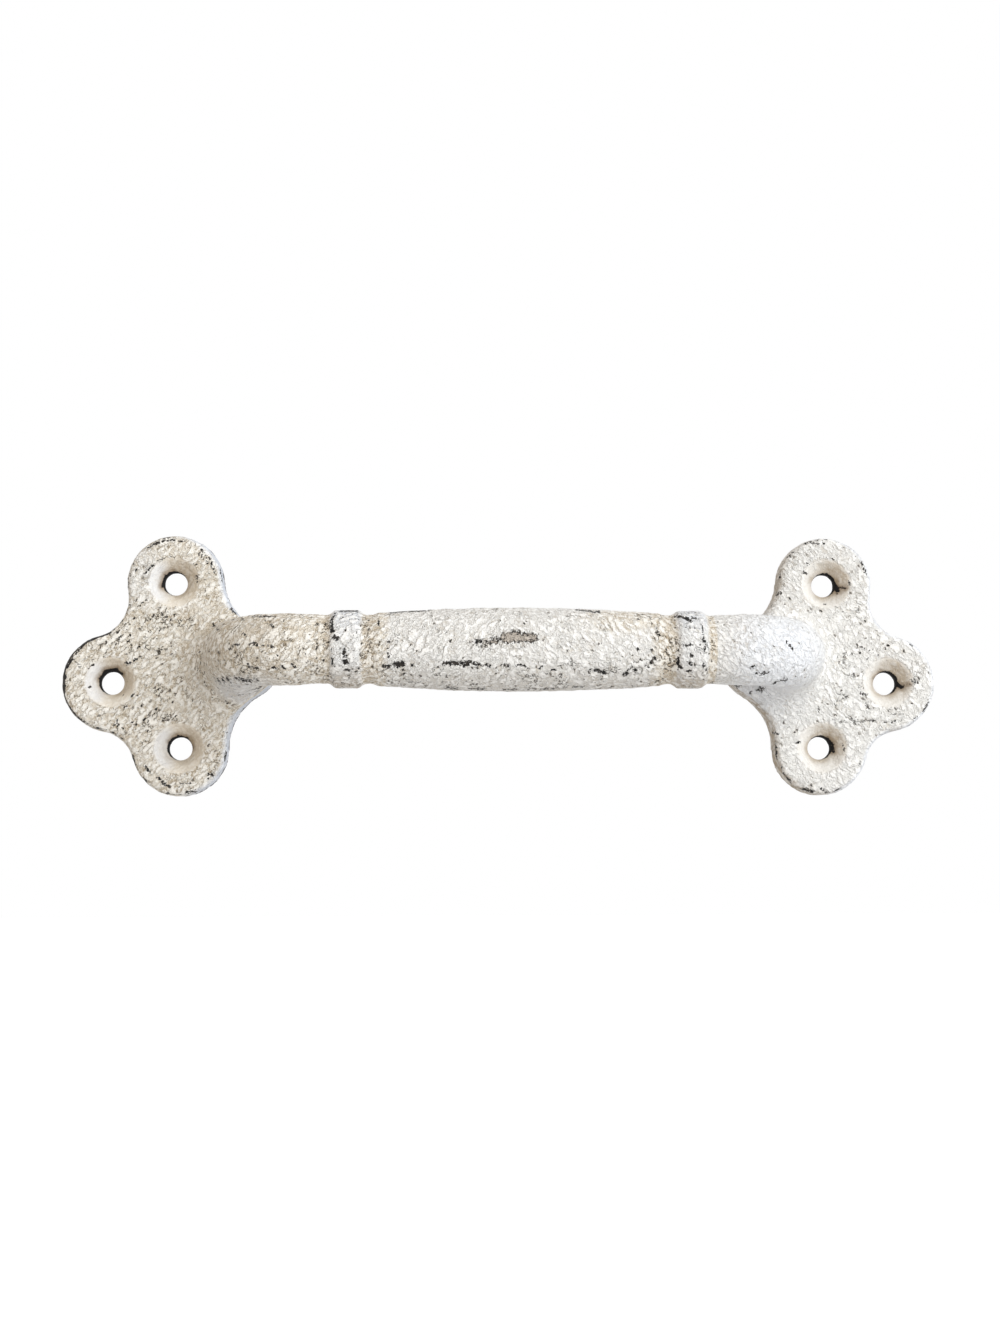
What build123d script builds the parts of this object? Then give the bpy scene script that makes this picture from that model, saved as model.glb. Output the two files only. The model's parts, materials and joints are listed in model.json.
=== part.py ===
"""Cast drawer pull: a barrel grip between two collars, on arms that bend back into two lobed end plates.

Millimetres. X runs along the grip, Z is up on the drawer front, and the plates seat on the plane Y = 0
with the grip standing out towards -Y. The origin lies midway between the two outer screw holes.
"""
from math import cos, radians, sin, sqrt, tan
from build123d import *
import os

# Grip, from its middle outwards
BARREL_LENGTH = 53.0
BARREL_DIAMETER = 15.8
BARREL_END_DIAMETER = 13.7
BARREL_STEP = 0.7
NECK_WIDTH = 2.4
NECK_DIAMETER = 13.0
COLLAR_WIDTH = 6.6
COLLAR_DIAMETER = 14.7
COLLAR_SHOULDER = 1.1
ARM_DIAMETER = 12.8

# Arms, from the collars back to the plates
GRIP_HEIGHT = 30.0
ARM_RUN = 6.7
ARM_SWELL = 0.7
ARM_BEND_RADIUS = 11.5
LEG_LEAN = 8.0
ROOT_FLARE = 6.5

# End plates, with their screws and lobes placed from the foot of the leg and the edge of its flare
PLATE_THICKNESS = 4.5
PLATE_DRAFT = 3.0
PLATE_EDGE_ROUND = 1.5
OUTER_SCREW_REACH = 22.6
UPPER_SCREW_REACH = 10.1
LOWER_SCREW_REACH = 8.7
UPPER_SCREW_GAP = 2.85
LOWER_SCREW_GAP = 4.25
OUTER_LOBE_RADIUS = 10.0
UPPER_LOBE_RADIUS = 9.8
LOWER_LOBE_RADIUS = 9.7
ROOT_LOBE_WALL = 0.8
OUTER_HOLLOW_RADIUS = 7.6
INNER_HOLLOW_RADIUS = 12.0

# The grip's axis lies above the outer screws, and the whole arch sits off centre on its plates
GRIP_RISE = 4.2
ARCH_SHIFT = 2.0

# Screw holes for a No. 8 countersunk wood screw
SCREW_DIAMETER = 4.2
SCREW_CLEARANCE = 0.5
SINK_DIAMETER = 10.0
SINK_ANGLE = 90
SINK_LIP_ROUND = 0.8

# Places that follow from the sizes
lean = radians(LEG_LEAN)
elbow_radius = (ARM_DIAMETER + ARM_SWELL) / 2
neck_start = BARREL_LENGTH / 2
collar_start = neck_start + NECK_WIDTH
collar_end = collar_start + COLLAR_WIDTH
bend_start = collar_end + ARM_RUN
bend_end = bend_start + ARM_BEND_RADIUS * cos(lean)
bend_end_height = GRIP_HEIGHT - ARM_BEND_RADIUS * (1 - sin(lean))
leg_foot = bend_end + bend_end_height * tan(lean)
flare_top = PLATE_THICKNESS + ROOT_FLARE * (1 + sin(lean))
flare_radius = elbow_radius + ROOT_FLARE
root_lobe_radius = elbow_radius + ROOT_LOBE_WALL
root_lobe_setback = flare_top * tan(lean) + abs(ARCH_SHIFT)
blank_radius = OUTER_SCREW_REACH + abs(ARCH_SHIFT) + 2 * OUTER_LOBE_RADIUS
outer_screw = Vector(leg_foot + OUTER_SCREW_REACH, 0)
upper_screw = Vector(leg_foot + UPPER_SCREW_REACH, GRIP_RISE + flare_radius + UPPER_SCREW_GAP)
lower_screw = Vector(leg_foot + LOWER_SCREW_REACH, GRIP_RISE - flare_radius - LOWER_SCREW_GAP)
root_lobe_place = Vector(leg_foot - root_lobe_setback, GRIP_RISE)

grip_plane = Plane((ARCH_SHIFT, -GRIP_HEIGHT, GRIP_RISE), x_dir=(1, 0, 0), z_dir=(0, -1, 0))
left_end = -1
right_end = 1


def hollow_arc(lobe, next_lobe, hollow_radius, end):
    """Start, deepest point and finish of the hollow that joins two lobes of the plate at one end."""
    centre, radius = lobe
    next_centre, next_radius = next_lobe
    span = next_centre - centre
    reach = radius + hollow_radius
    next_reach = next_radius + hollow_radius
    along = (span.length**2 + reach**2 - next_reach**2) / (2 * span.length)
    aside = sqrt(reach**2 - along**2)
    forward = span.normalized()
    outward = Vector(forward.Y, -forward.X) * end
    middle = centre + forward * along + outward * aside
    start = centre + (middle - centre) * (radius / reach)
    finish = next_centre + (middle - next_centre) * (next_radius / next_reach)
    return start, middle - outward * hollow_radius, finish


# Space round the four-lobed outline of each end plate, up to the top of the root flare
with BuildPart() as plate_surround:
    with BuildSketch(Plane.XZ) as surround_discs:
        for end in (left_end, right_end):
            with Locations((end * leg_foot + ARCH_SHIFT, GRIP_RISE)):
                Circle(blank_radius + OUTER_LOBE_RADIUS)
    extrude(amount=flare_top)
    # Lobes and hollows are joined as tangent arcs, and the walls draw in towards the front
    with BuildSketch(Plane.XZ) as plate_outlines:
        for end in (left_end, right_end):
            outer_lobe = (Vector(end * outer_screw.X, outer_screw.Y), OUTER_LOBE_RADIUS)
            upper_lobe = (Vector(end * upper_screw.X, upper_screw.Y), UPPER_LOBE_RADIUS)
            root_lobe = (Vector(end * root_lobe_place.X, root_lobe_place.Y), root_lobe_radius)
            lower_lobe = (Vector(end * lower_screw.X, lower_screw.Y), LOWER_LOBE_RADIUS)
            hollows = [
                hollow_arc(outer_lobe, upper_lobe, OUTER_HOLLOW_RADIUS, end),
                hollow_arc(upper_lobe, root_lobe, INNER_HOLLOW_RADIUS, end),
                hollow_arc(root_lobe, lower_lobe, INNER_HOLLOW_RADIUS, end),
                hollow_arc(lower_lobe, outer_lobe, OUTER_HOLLOW_RADIUS, end),
            ]
            with BuildLine() as lobed_line:
                for hollow, next_hollow in zip(hollows, hollows[1:] + hollows[:1]):
                    valley = ThreePointArc(*hollow)
                    TangentArc(valley @ 1, next_hollow[0], tangent=valley % 1)
            make_face()
    extrude(amount=flare_top, taper=PLATE_DRAFT, mode=Mode.SUBTRACT)

with BuildPart() as drawer_pull:
    # Each end plate starts as a disc with the leg rising from it in a flared root, then takes its outline
    with BuildSketch(Plane.XZ) as plate_discs:
        for end in (left_end, right_end):
            with Locations((end * leg_foot + ARCH_SHIFT, GRIP_RISE)):
                Circle(blank_radius)
    extrude(amount=PLATE_THICKNESS)
    for end in (left_end, right_end):
        leg_top = (end * bend_end + ARCH_SHIFT, -bend_end_height, GRIP_RISE)
        leg_plane = Plane(leg_top, x_dir=(0, 0, 1), z_dir=(-end * sin(lean), -cos(lean), 0))
        with BuildSketch(leg_plane) as leg_section:
            Circle(elbow_radius)
        extrude(amount=-(bend_end_height - PLATE_THICKNESS / 2) / cos(lean))
    fronts = drawer_pull.faces().filter_by_position(Axis.Y, -PLATE_THICKNESS, -PLATE_THICKNESS)
    fillet(fronts.edges().filter_by(GeomType.ELLIPSE), ROOT_FLARE)
    add(plate_surround.part, mode=Mode.SUBTRACT)

    # Softened rim round the front of each plate and over the foot of its leg
    walls = drawer_pull.faces().filter_by(GeomType.CONE)
    flares = drawer_pull.faces().filter_by(GeomType.BSPLINE)
    fronts = drawer_pull.faces().filter_by_position(Axis.Y, -PLATE_THICKNESS, -PLATE_THICKNESS)
    fillet((fronts.edges() + flares.edges()) & walls.edges(), PLATE_EDGE_ROUND)

    # Grip turned from one profile: belly, neck, collar and the swelling start of the arm
    with BuildSketch(grip_plane) as grip_profile:
        with BuildLine() as grip_half:
            belly_top = (0, BARREL_DIAMETER / 2)
            belly_end = (neck_start, BARREL_END_DIAMETER / 2)
            neck_top = (neck_start + BARREL_STEP, NECK_DIAMETER / 2)
            neck_end = (collar_start, NECK_DIAMETER / 2)
            collar_top = (collar_start + COLLAR_SHOULDER, COLLAR_DIAMETER / 2)
            collar_edge = (collar_end - COLLAR_SHOULDER, COLLAR_DIAMETER / 2)
            arm_top = (collar_end, ARM_DIAMETER / 2)
            arm_end = (bend_start, elbow_radius)
            TangentArc(belly_top, belly_end, tangent=(1, 0))
            Polyline(belly_end, neck_top, neck_end, collar_top, collar_edge, arm_top, arm_end)
            Polyline(arm_end, (bend_start, 0), (0, 0), belly_top)
        make_face()
        mirror(about=Plane.YZ)
    revolve(axis=Axis(grip_plane.origin, (1, 0, 0)))

    # Arm that bends over from the grip to each leg
    for end in (left_end, right_end):
        arm_end_place = (end * bend_start + ARCH_SHIFT, -GRIP_HEIGHT, GRIP_RISE)
        bend_centre = (arm_end_place[0], ARM_BEND_RADIUS - GRIP_HEIGHT, GRIP_RISE)
        with BuildSketch(Plane(arm_end_place, x_dir=(0, 0, 1), z_dir=(end, 0, 0))) as arm_section:
            Circle(elbow_radius)
        revolve(axis=Axis(bend_centre, (0, 0, end)), revolution_arc=90 - LEG_LEAN)

    # Countersunk screw holes with the soft lips of a casting
    with Locations(Plane.XZ.offset(PLATE_THICKNESS)):
        for end in (left_end, right_end):
            for screw in (outer_screw, upper_screw, lower_screw):
                with Locations((end * screw.X, screw.Y)):
                    CounterSinkHole(
                        (SCREW_DIAMETER + SCREW_CLEARANCE) / 2, SINK_DIAMETER / 2, PLATE_THICKNESS, SINK_ANGLE
                    )
    fronts = drawer_pull.faces().filter_by_position(Axis.Y, -PLATE_THICKNESS, -PLATE_THICKNESS)
    sinks = drawer_pull.faces().filter_by(GeomType.CONE)
    lips = fronts.edges() & sinks.edges()
    fillet(lips, SINK_LIP_ROUND)

drawer_pull.part.label = "drawer_pull"
os.makedirs("parts", exist_ok=True)
export_step(drawer_pull.part, "parts/drawer_pull.step")
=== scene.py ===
"""Looks of a cast drawer pull: one iron casting in worn cream paint, in a plain white studio.

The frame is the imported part's, in metres: X along the grip, Y into the drawer front, Z up.
Sizes and places of the casting are in millimetres, and MM turns them into metres.
"""
import json
import math
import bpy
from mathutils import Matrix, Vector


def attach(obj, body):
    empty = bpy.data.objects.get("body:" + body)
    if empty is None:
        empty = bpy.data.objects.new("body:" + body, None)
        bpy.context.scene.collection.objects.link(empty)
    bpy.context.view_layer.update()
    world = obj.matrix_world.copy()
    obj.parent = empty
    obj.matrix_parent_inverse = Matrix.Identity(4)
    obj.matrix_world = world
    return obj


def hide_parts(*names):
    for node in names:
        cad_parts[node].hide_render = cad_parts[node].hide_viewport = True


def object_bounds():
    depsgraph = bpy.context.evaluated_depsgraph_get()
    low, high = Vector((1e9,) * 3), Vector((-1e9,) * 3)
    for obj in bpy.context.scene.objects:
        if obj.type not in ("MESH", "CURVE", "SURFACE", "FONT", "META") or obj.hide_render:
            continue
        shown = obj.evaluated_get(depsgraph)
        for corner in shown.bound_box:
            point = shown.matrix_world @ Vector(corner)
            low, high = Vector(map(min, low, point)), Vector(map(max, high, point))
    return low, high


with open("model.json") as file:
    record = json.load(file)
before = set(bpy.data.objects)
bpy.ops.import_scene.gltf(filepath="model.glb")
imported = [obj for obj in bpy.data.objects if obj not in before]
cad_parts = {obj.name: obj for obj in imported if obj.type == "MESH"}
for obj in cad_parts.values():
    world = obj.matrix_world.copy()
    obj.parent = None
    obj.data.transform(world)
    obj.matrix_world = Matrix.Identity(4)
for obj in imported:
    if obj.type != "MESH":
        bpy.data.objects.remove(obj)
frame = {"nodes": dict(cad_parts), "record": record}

from types import SimpleNamespace

import bmesh
import bpy
import numpy as np
from mathutils import Quaternion, Vector

CAD_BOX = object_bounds()
MM = 0.001

# Places on the casting
GRIP_Y = -30.0
GRIP_Z = 4.2
GRIP_REACH = 9.0
ARCH_X = 2.0
BARREL_END = 26.5
NECK_START = 27.5
COLLAR_START = 28.9
COLLAR_END = 35.5
ARM_START = 36.5
GRIP_END = 37.5
ARM_BACK = -6.0
PLATE_FRONT = -4.5
PLATE_SLACK = 0.2
PLATE_BACK_LAYER = -0.3
SINK_RADIUS = 5.0
SINK_LIP = 0.6
BOWL_LIMIT = 1.4

# Direction that the light comes from in the front plane
LIGHT_X = 0.8
LIGHT_Z = 0.6

# Ranges of place or facing over which a region fades in: where it starts, and where it is whole
FRONT_FACING = (0.0, -0.15)
WALL_FACING = (2 / 3, 1 / 4)
EDGE_FACING = (0.96, 0.96 - 1 / 6)
LIT_EDGE_FACING = (0.0, 1 / 3)
LIT_WALL_FACING = (0.0, 1 / 2)
LIT_SINK_FACING = (0.4 / 3, 1.4 / 3)
COLLAR_TOP_FACING = (0.2, 1.3 / 1.5)
UNDERSIDE_FACING = (-0.6, -0.85)
UNDER_GRIP = (GRIP_Z - 3.0, GRIP_Z - 7.0)
BARREL_ENDS = (19.0, 23.0)
LEFT_ELBOW_START = (-37.0, -43.0)
RIGHT_ELBOW_START = (38.0, 43.0)
RIGHT_ELBOW_BACK = -1.0

# Bands along the grip, in the facing of the plates' edges and in their depth: start, finish and softness
BARREL_BAND = (-1.0, BARREL_END - 1.5, 2.5)
NECK_BAND = (BARREL_END, COLLAR_START + 0.6, 1.0)
COLLAR_BAND = (COLLAR_START + 0.4, COLLAR_END - 0.4, 0.8)
COLLAR_FOOT_BAND = (COLLAR_END - 0.4, COLLAR_END + 0.6, 0.7)
OUTER_RIM_BAND = (0.15, 0.8, 0.2)
INNER_RIM_BAND = (0.90, 0.985, 0.04)
BACK_EDGE_BAND = (-1.6, 0.4, 0.6)

# Facing past which a plate's edge is a lit one, and relief past which a collar's edge is a raised one
LIT_SIDE = 0.1
RAISED = 0.2

# Mesh of the casting, and the relief of its sand-cast skin and of its paint
MERGE_DISTANCE = 0.001
VOXEL = 0.42
SMOOTHING = 0.5
SETTLE_STEPS = 2
CLOUD_DEPTH = 2
LUMP_SIZE = 3.2
LUMP_HEIGHT = 0.26
GRAIN_SIZE = 1.0
GRAIN_HEIGHT = 0.20
PAINT_THICKNESS = 0.12
CHIP_REACH = 1.2
CHIP_SLOPE = 0.2
HOLLOW_STEPS = 40
HOLLOW_DEPTH = 0.25

# Relief left on smoother places, as a share, and widths of the smoother rings round bores and bowls
SKIN_SHARES = {"plate back": 0.15, "bore": 0.1, "sink": 0.35, "collar": 0.5, "right elbow": 0.6}
SMOOTH_BORE_RING = 1.2
SMOOTH_SINK_RING = 0.3

# Chips in the coat, placed after the photograph: strokes as seen from the front, each with its
# ends in X and Z and its half width
CHIPS = {
    "barrel, row along the lower front": (
        (-23.4, 0.5, -22.2, 0.5, 0.32), (-20.7, 0.8, -19.7, 0.9, 0.52), (-18.0, 0.7, -17.9, 0.7, 0.25),
        (-12.1, 0.9, -10.7, 1.2, 0.26), (-11.0, 0.6, -9.9, 0.8, 0.22), (-10.1, 1.2, -8.9, 0.8, 0.28),
        (-9.0, 1.3, -7.9, 1.0, 0.24), (-8.3, 0.6, -7.0, 1.3, 0.30), (-7.0, 1.2, -5.3, 0.6, 0.24),
        (-4.3, 0.7, -3.6, 0.6, 0.22), (-1.6, 0.6, 0.0, 0.6, 0.16), (1.4, 0.7, 3.6, 0.3, 0.14),
        (5.5, 0.2, 5.9, 0.4, 0.20), (7.4, 0.1, 8.4, -0.1, 0.16), (14.8, -0.2, 15.0, -0.3, 0.22),
        (15.9, -0.1, 17.8, -0.7, 0.30), (21.2, -0.9, 21.8, -0.7, 0.28), (22.2, 0.0, 24.0, -0.2, 0.16),
    ),
    "barrel, left end": (
        (-24.2, 9.2, -24.1, 8.2, 0.18), (-22.4, 5.0, -22.2, 4.9, 0.30), (-22.3, 2.6, -22.2, 2.4, 0.32),
        (-23.5, 5.8, -23.4, 5.4, 0.24),
    ),
    "barrel, beside the rubbed patch": (
        (-7.3, 5.0, -5.3, 4.9, 0.20), (-4.6, 5.0, -4.0, 4.9, 0.22),
    ),
    "barrel, right end": (
        (11.3, 4.3, 11.3, 4.4, 0.24), (23.5, 3.6, 23.8, 3.5, 0.20), (26.3, 3.4, 26.6, 3.3, 0.20),
        (26.8, 2.0, 27.0, 1.9, 0.24), (26.0, 1.4, 26.4, 1.1, 0.20), (27.2, 7.6, 27.8, 6.3, 0.18),
    ),
    "barrel, top and bottom edges": (
        (-22.0, 11.0, -14.6, 11.5, 0.24), (12.6, 11.4, 17.0, 11.0, 0.18),
        (-12.0, -3.1, -9.6, -3.25, 0.08), (-7.5, -3.3, -4.6, -3.4, 0.10), (-1.0, -3.5, 1.6, -3.5, 0.07),
        (6.0, -3.4, 8.5, -3.3, 0.10), (12.0, -3.1, 14.2, -2.9, 0.08),
    ),
    "left collar": (
        (-32.2, 10.5, -32.8, 9.4, 0.20), (-32.8, 9.4, -32.7, 6.9, 0.26), (-32.2, 5.8, -31.8, 5.6, 0.48),
        (-30.4, 3.1, -30.2, 2.2, 0.36), (-30.4, 1.3, -29.9, 1.2, 0.46), (-30.1, -0.1, -29.6, -0.2, 0.22),
        (-32.6, 1.8, -32.6, 0.8, 0.18), (-31.6, 11.2, -28.4, 11.2, 0.20),
    ),
    "right collar": (
        (32.6, 9.8, 33.8, 9.2, 0.36), (31.2, 10.0, 32.4, 9.9, 0.20), (34.3, 9.8, 35.2, 9.5, 0.16),
        (35.7, 8.5, 36.0, 6.9, 0.16), (36.1, 6.0, 36.1, 2.8, 0.13), (36.1, 1.2, 36.0, 0.2, 0.20),
        (31.2, 2.0, 31.3, 0.9, 0.28), (31.4, 0.6, 31.8, 0.2, 0.28), (33.4, 2.8, 33.6, 2.3, 0.30),
        (33.3, 1.1, 33.6, 0.9, 0.30), (32.4, 4.3, 33.8, 4.5, 0.22), (35.3, 4.6, 35.9, 5.0, 0.20),
        (31.1, 3.6, 31.1, 3.4, 0.20), (33.0, -0.4, 33.8, -0.3, 0.20),
    ),
    "left elbow, row under it": (
        (-60.0, -0.2, -59.5, -1.0, 0.14), (-57.2, -0.8, -56.6, -1.5, 0.15),
        (-55.3, -0.7, -54.8, -1.4, 0.12), (-54.0, -1.0, -53.6, -1.5, 0.15),
        (-52.9, -1.0, -52.2, -1.8, 0.15), (-51.2, -0.9, -50.4, -1.6, 0.12),
        (-50.2, -1.2, -49.2, -1.7, 0.13), (-49.6, -1.6, -47.9, -1.8, 0.20),
        (-48.6, -1.0, -48.2, -1.6, 0.12), (-47.2, -1.5, -46.7, -1.8, 0.15),
    ),
    "left elbow and arm": (
        (-47.2, 4.8, -46.6, 4.5, 0.30), (-51.8, 4.0, -51.0, 4.6, 0.22), (-51.0, 4.7, -50.0, 4.7, 0.18),
        (-58.5, 11.9, -58.0, 11.0, 0.20), (-55.0, 8.6, -54.5, 8.0, 0.18), (-49.9, 9.9, -49.2, 9.5, 0.16),
        (-49.2, 6.8, -48.7, 6.2, 0.16), (-44.2, 8.3, -43.5, 7.8, 0.20), (-44.1, 4.4, -43.5, 4.0, 0.22),
        (-48.2, 0.6, -46.3, 0.2, 0.14), (-43.6, 0.3, -42.8, 0.2, 0.20), (-42.0, 0.6, -41.4, 0.2, 0.22),
        (-40.0, 0.8, -39.5, 0.4, 0.18), (-47.9, 10.3, -43.6, 10.1, 0.14),
    ),
    "right elbow": (
        (44.8, 0.2, 45.4, 0.7, 0.20), (45.4, 0.7, 46.0, 0.4, 0.16), (46.0, -0.7, 46.4, -0.4, 0.20),
        (47.0, -0.9, 47.7, -0.5, 0.22), (47.9, -0.8, 48.5, -0.6, 0.18), (50.2, -2.2, 50.7, -1.9, 0.18),
        (51.4, -1.7, 52.6, -1.6, 0.14), (51.8, -1.2, 52.3, -2.0, 0.14), (51.8, 5.3, 52.3, 4.6, 0.18),
        (52.4, 4.6, 53.0, 3.9, 0.20), (53.0, 4.0, 53.3, 3.4, 0.14),
    ),
    "left plate, upper lobe": (
        (-71.9, 27.4, -70.3, 28.3, 0.20), (-70.3, 28.3, -68.3, 28.9, 0.28),
        (-68.3, 28.9, -66.7, 28.9, 0.18), (-65.6, 28.7, -64.4, 28.7, 0.12),
        (-68.0, 27.8, -67.7, 27.5, 0.16), (-61.2, 27.0, -59.1, 24.7, 0.18),
        (-61.8, 26.4, -59.8, 24.2, 0.15), (-59.1, 24.1, -58.3, 22.4, 0.22),
        (-72.4, 22.0, -70.7, 23.8, 0.16), (-70.0, 24.6, -68.4, 25.3, 0.11),
        (-67.2, 25.7, -66.7, 25.5, 0.15), (-74.7, 23.9, -74.7, 24.2, 0.15),
        (-75.4, 21.4, -75.4, 21.7, 0.18), (-62.3, 21.6, -61.8, 21.4, 0.18),
        (-62.0, 20.6, -61.8, 20.3, 0.16), (-60.6, 21.1, -60.3, 20.8, 0.14),
        (-73.4, 15.3, -73.1, 15.8, 0.16), (-73.1, 15.8, -72.1, 16.6, 0.11),
        (-75.5, 15.7, -75.1, 15.7, 0.14), (-68.6, 13.6, -67.7, 13.2, 0.14),
        (-66.2, 15.0, -65.9, 15.3, 0.15), (-54.9, 14.9, -54.0, 13.9, 0.24),
        (-57.2, 23.2, -56.7, 20.6, 0.22),
    ),
    "left plate, outer lobe and middle": (
        (-77.7, 8.4, -77.0, 9.3, 0.14), (-77.0, 9.3, -75.9, 10.4, 0.10), (-75.0, 6.9, -74.8, 8.1, 0.09),
        (-72.4, 9.1, -71.6, 9.2, 0.11), (-86.0, 5.8, -84.0, 8.0, 0.22), (-87.5, 3.2, -86.5, 5.0, 0.26),
        (-88.2, 1.6, -88.3, -2.2, 0.34), (-85.9, 4.1, -84.9, 3.0, 0.10), (-75.9, 3.9, -75.5, 4.0, 0.20),
        (-75.3, 3.7, -74.3, 4.3, 0.20), (-74.3, 4.3, -73.1, 5.1, 0.18), (-83.2, 2.8, -82.4, 3.5, 0.18),
        (-80.4, 5.0, -79.9, 5.0, 0.12), (-83.3, -0.9, -83.1, -0.9, 0.20),
        (-74.8, -3.0, -74.2, -2.3, 0.12), (-74.2, -2.3, -73.4, -2.8, 0.14),
        (-78.0, -8.7, -77.3, -7.6, 0.20), (-76.3, -5.4, -75.6, -4.9, 0.20),
        (-84.9, -7.2, -84.2, -8.0, 0.14),
    ),
    "left plate, lower lobe": (
        (-71.8, -16.8, -70.5, -18.4, 0.22), (-69.3, -19.3, -66.7, -21.1, 0.26),
        (-64.8, -20.3, -62.2, -20.3, 0.12), (-63.6, -22.2, -61.6, -22.0, 0.20),
        (-59.0, -18.6, -58.3, -18.8, 0.32), (-55.9, -15.6, -55.4, -13.7, 0.24),
    ),
    "right plate, upper lobe": (
        (63.3, 29.0, 64.8, 28.8, 0.16), (65.1, 28.6, 66.7, 28.8, 0.13), (74.0, 24.9, 75.1, 22.4, 0.20),
        (59.0, 25.9, 59.4, 26.3, 0.17), (57.3, 18.5, 57.4, 18.2, 0.13), (62.7, 24.6, 63.1, 24.1, 0.18),
        (61.9, 22.8, 62.8, 22.4, 0.20), (71.4, 20.7, 71.4, 20.1, 0.18), (66.4, 16.2, 66.7, 16.2, 0.13),
    ),
    "right plate, outer lobe and middle": (
        (73.4, 7.3, 73.6, 7.3, 0.22), (73.6, 7.3, 76.1, 6.0, 0.11), (77.0, 5.6, 77.1, 5.5, 0.20),
        (74.9, 4.9, 75.1, 4.9, 0.18), (83.7, 0.4, 85.2, -0.1, 0.20), (84.5, 1.2, 84.7, -0.1, 0.12),
        (73.9, 2.1, 74.2, 1.4, 0.14), (73.2, -2.2, 74.8, -2.5, 0.18), (74.8, -5.4, 75.0, -5.4, 0.22),
        (73.0, -8.1, 75.8, -7.7, 0.12), (78.0, -8.2, 81.7, -7.7, 0.16), (79.5, -6.5, 82.2, -6.3, 0.10),
        (87.4, -3.9, 86.3, -6.0, 0.20), (84.1, -7.4, 85.0, -7.1, 0.15), (83.9, 7.9, 84.2, 7.6, 0.18),
    ),
    "right plate, lower lobe": (
        (55.1, -10.2, 56.2, -10.5, 0.14), (59.7, -12.4, 60.7, -12.2, 0.18),
        (69.6, -12.6, 69.8, -14.0, 0.11), (61.2, -21.7, 63.3, -22.1, 0.22),
        (64.8, -21.7, 66.2, -22.4, 0.20), (67.6, -22.1, 68.8, -21.5, 0.13),
        (57.5, -18.9, 58.8, -20.4, 0.12),
    ),
}
# Soft dark smudges round the bores, drawn the same way
SMUDGES = (
    (-69.1, 19.8, -68.5, 21.9, 0.40), (-68.5, 21.9, -66.9, 22.8, 0.20),
    (-81.4, 0.8, -80.3, 2.2, 0.35), (-80.3, 2.2, -78.2, 2.6, 0.55), (-78.2, 2.6, -77.0, 1.8, 0.30),
    (-67.2, -11.9, -65.6, -10.8, 0.25), (-65.6, -10.8, -63.6, -11.3, 0.30),
    (-63.6, -11.3, -62.7, -13.0, 0.20),
    (68.7, 20.6, 69.4, 19.2, 0.50), (69.6, 19.9, 70.8, 19.5, 0.20),
    (76.9, 1.1, 78.2, 2.3, 0.12), (81.5, -0.2, 82.2, -0.8, 0.45), (82.5, -0.5, 83.6, -0.3, 0.15),
    (66.7, -11.3, 67.7, -12.6, 0.40), (67.7, -12.6, 67.9, -14.0, 0.35),
)
# Patch on the barrel where the coat is rubbed down to its taupe ground, drawn the same way
RUBBED_PATCH = (
    (-3.4, 5.0, -2.4, 4.9, 0.45), (-0.8, 5.6, 1.4, 5.9, 1.05), (1.6, 5.8, 4.4, 5.6, 0.85),
)
# Black edge of each bore, dark iron with painted shade of the bore's wall, heavier on the upper side: its
# width, and how far it lies outwards and up from the hole's axis
BORE_EDGE = 0.1
BORE_EDGE_SHIFT = (0.2, 0.15)

# Soft areas as seen from the front: middle in X and Z, and reach in X and Z
BARREL_STAIN = ((22, 9.5), (11, 4))
RIGHT_ELBOW = ((51, 2.5), (15, 15))
LEFT_ELBOW_UNDERSIDE = ((-53, -4), (15, 7))
LEFT_PALE_LOBE = ((-74, 22), (8, 10))
LEFT_WORN_RIM = ((-84, 3), (12, 14))
LEFT_SPECKS_ABOVE = ((-71, 9), (12, 8))
LEFT_SPECKS_BELOW = ((-74, -6), (9, 7))
RIGHT_SPECKS_ABOVE = ((70, 8), (11, 9))
RIGHT_SPECKS_BELOW = ((72, -6), (13, 9))

# How strongly each place takes white paint (with painted light on the right end and the upper left lobe),
# bluish-white painted light, paler cream (partly painted light), painted grey shade, soil and painted
# shade, wear and specks
WHITE = {"barrel": 0.8, "barrel stain": 0.7, "right end": 0.85, "left lobe": 0.55}
PAINTED_BLUISH_LIGHT = {"lit edge": 0.85, "left sink": 0.55, "right sink": 0.1, "collar": 0.25, "left underside": 0.8}
LEFT_PALER_CREAM_AND_LIGHT = 0.45
SHADE = {"collar top": 0.55, "left sink": 0.5}
SOIL_AND_SHADE = {
    "neck": 0.34, "collar foot": 0.32, "under grip": 0.25, "under collar": 0.5, "left elbow": 0.24,
    "left sink": 0.14, "right sink": 0.22, "left edge": 0.15, "right edge": 0.9, "rounded edge": 0.8,
}
WEAR = {"rim": 0.54, "left rim": 0.5, "lit rim": 0.6, "back edge": 1.35, "collar": 0.3}
SPECKS = {
    "barrel": 0.18, "row": 0.22, "upper row": 0.7, "barrel end": 0.14, "under grip": 0.35,
    "left arm": 0.40, "left plate": 0.15, "left above": 0.38, "left below": 0.34,
    "right arm": 0.09, "right plate": 0.14, "right above": 0.24, "right below": 0.22,
    "gone from lit edge": 0.8, "sink": 0.1,
}
LOWER_ROW_Z = 0.4
LOWER_ROW_WIDTH = 1.0
UPPER_ROW_Z = 5.4
UPPER_ROW_WIDTH = 1.2
UPPER_ROW_END = 8.0
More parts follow.
